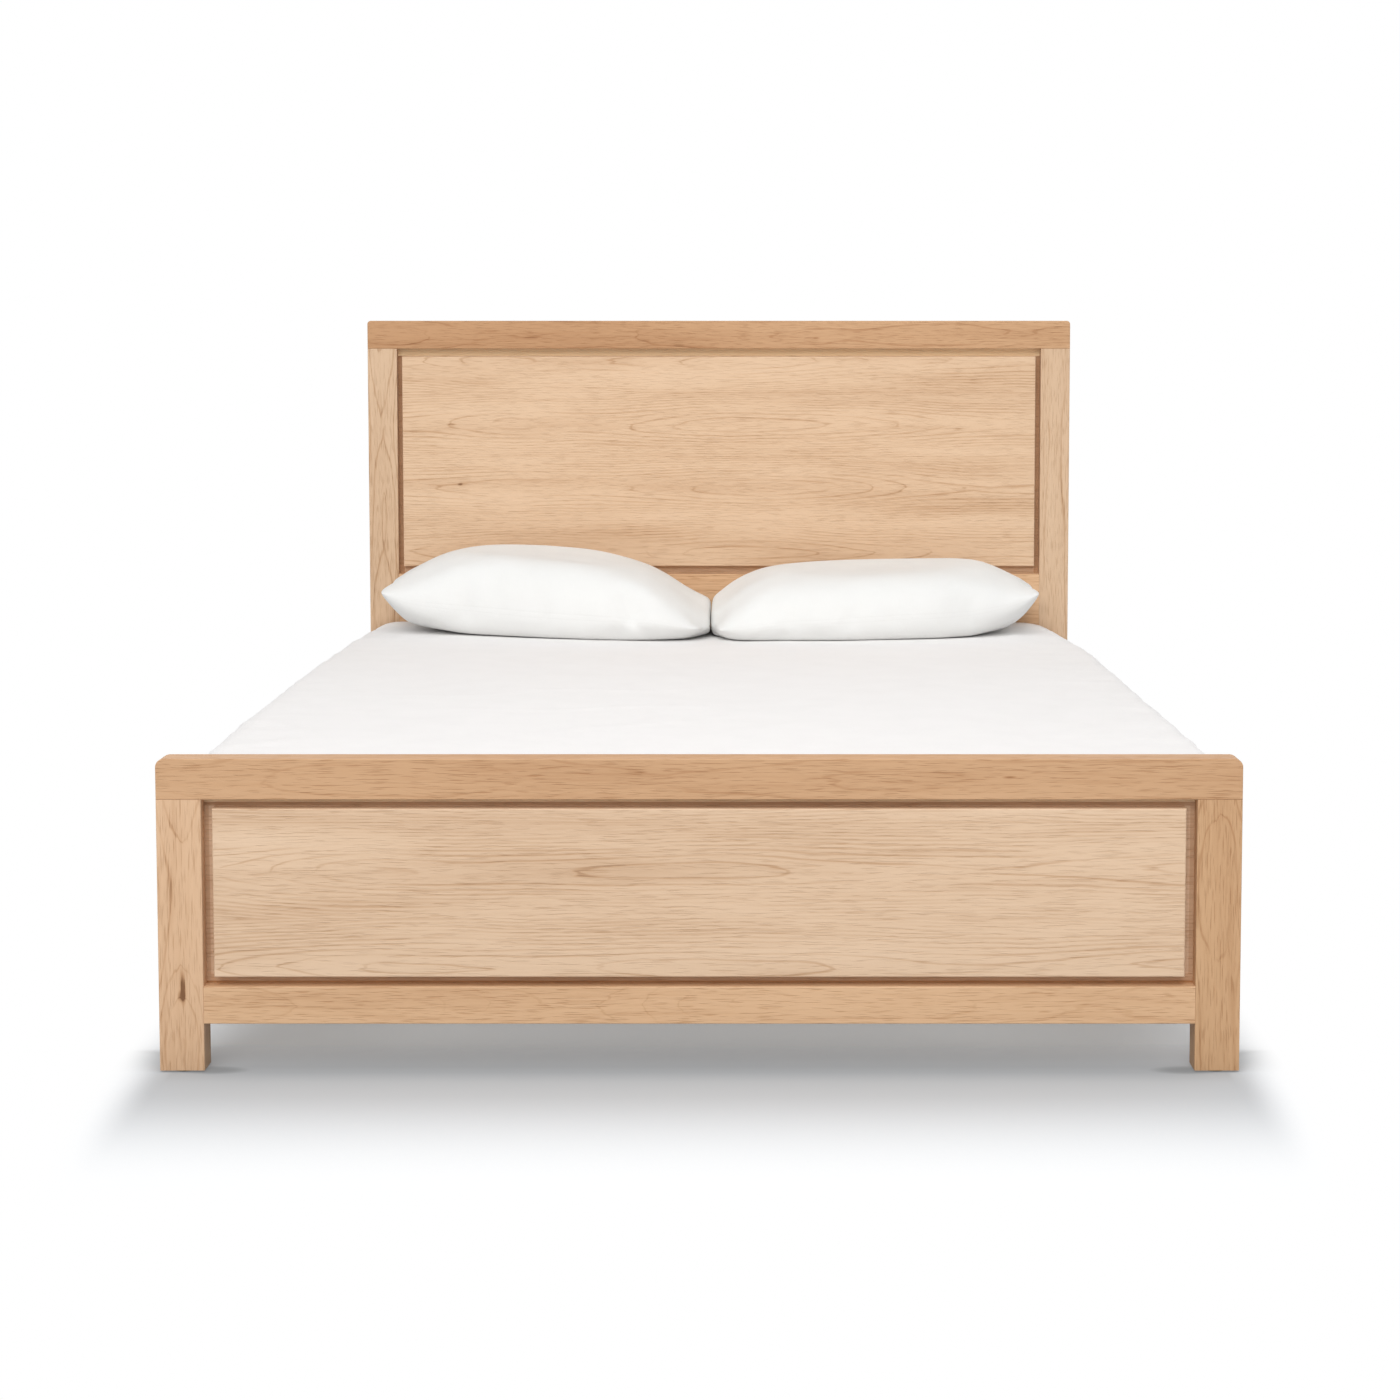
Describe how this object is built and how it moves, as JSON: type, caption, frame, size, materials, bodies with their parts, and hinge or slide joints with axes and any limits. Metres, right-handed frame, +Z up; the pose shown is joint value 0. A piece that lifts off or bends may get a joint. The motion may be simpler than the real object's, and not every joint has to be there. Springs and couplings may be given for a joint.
{
  "type": "bed",
  "caption": "Queen-size oak panelled bed: headboard, low footboard, side rails, slatted base with centre support, mattress, quilt and pillows.",
  "frame": {"origin": "on the floor under the middle of the bed", "axes": "+X across the bed to the right seen from the foot, +Y from the footboard to the headboard, +Z up"},
  "size_m": [1.64, 2.14, 1.158],
  "materials": {
    "oak": "clear matt oil on light oak",
    "pine": "planed, unfinished",
    "beech": "fluted dowel, unfinished",
    "black_steel": "black powder coat",
    "zinc_steel": "bright zinc plate",
    "foot_steel": "satin",
    "webbing": "woven cotton tape",
    "glide_plastic": "moulded",
    "mattress_ticking": "knitted ticking",
    "quilt_cotton": "soft woven cotton",
    "pillow_cotton": "smooth cotton percale"
  },
  "bodies": {
    "frame": {"footboard_post_left": "oak", "footboard_post_right": "oak", "footboard_top_rail": "oak", "footboard_panel": "oak", "footboard_bottom_rail": "oak", "headboard_post_left": "oak", "headboard_post_right": "oak", "headboard_top_rail": "oak", "headboard_panel": "oak", "headboard_bottom_rail": "oak", "headboard_middle_rail": "oak", "side_rail_left": "oak", "side_rail_right": "oak", "slat_cleat_left": "pine", "slat_cleat_right": "pine", "centre_beam": "pine", "centre_leg_front": "pine", "centre_leg_rear": "pine", "slat_01": "pine", "slat_02": "pine", "slat_03": "pine", "slat_04": "pine", "slat_05": "pine", "slat_06": "pine", "slat_07": "pine", "slat_08": "pine", "slat_09": "pine", "slat_10": "pine", "slat_11": "pine", "slat_12": "pine", "slat_13": "pine", "slat_14": "pine", "footboard_dowels": "beech", "headboard_dowels": "beech", "corner_bracket_foot_left": "black_steel", "corner_bracket_foot_right": "black_steel", "corner_bracket_head_left": "black_steel", "corner_bracket_head_right": "black_steel", "beam_hanger_foot": "black_steel", "beam_hanger_head": "black_steel", "bracket_bolts": "zinc_steel", "bracket_screws": "zinc_steel", "hanger_screws": "zinc_steel", "slat_screws": "zinc_steel", "cleat_screws": "zinc_steel", "leg_bolts": "zinc_steel", "slat_strap_left": "webbing", "slat_strap_right": "webbing", "leg_glides": "glide_plastic"},
    "mattress": {"mattress": "mattress_ticking", "quilt": "quilt_cotton"},
    "pillow_left": {"pillow_left": "pillow_cotton"},
    "pillow_right": {"pillow_right": "pillow_cotton"},
    "levelling_foot_front": {"levelling_foot_front": "foot_steel"},
    "levelling_foot_rear": {"levelling_foot_rear": "foot_steel"}
  },
  "joints": [
    {"name": "mattress_lift", "type": "slide", "parent": "frame", "child": "mattress", "axis": [0, 0, 1], "range_m": [0, 0.35]},
    {"name": "pillow_left_lift", "type": "slide", "parent": "mattress", "child": "pillow_left", "axis": [0, 0, 1], "range_m": [0, 0.3]},
    {"name": "pillow_right_lift", "type": "slide", "parent": "mattress", "child": "pillow_right", "axis": [0, 0, 1], "range_m": [0, 0.3]},
    {"name": "levelling_foot_front_screw", "type": "slide", "parent": "frame", "child": "levelling_foot_front", "axis": [0, 0, 1], "range_m": [-0.008, 0.01]},
    {"name": "levelling_foot_rear_screw", "type": "slide", "parent": "frame", "child": "levelling_foot_rear", "axis": [0, 0, 1], "range_m": [-0.008, 0.01]}
  ]
}
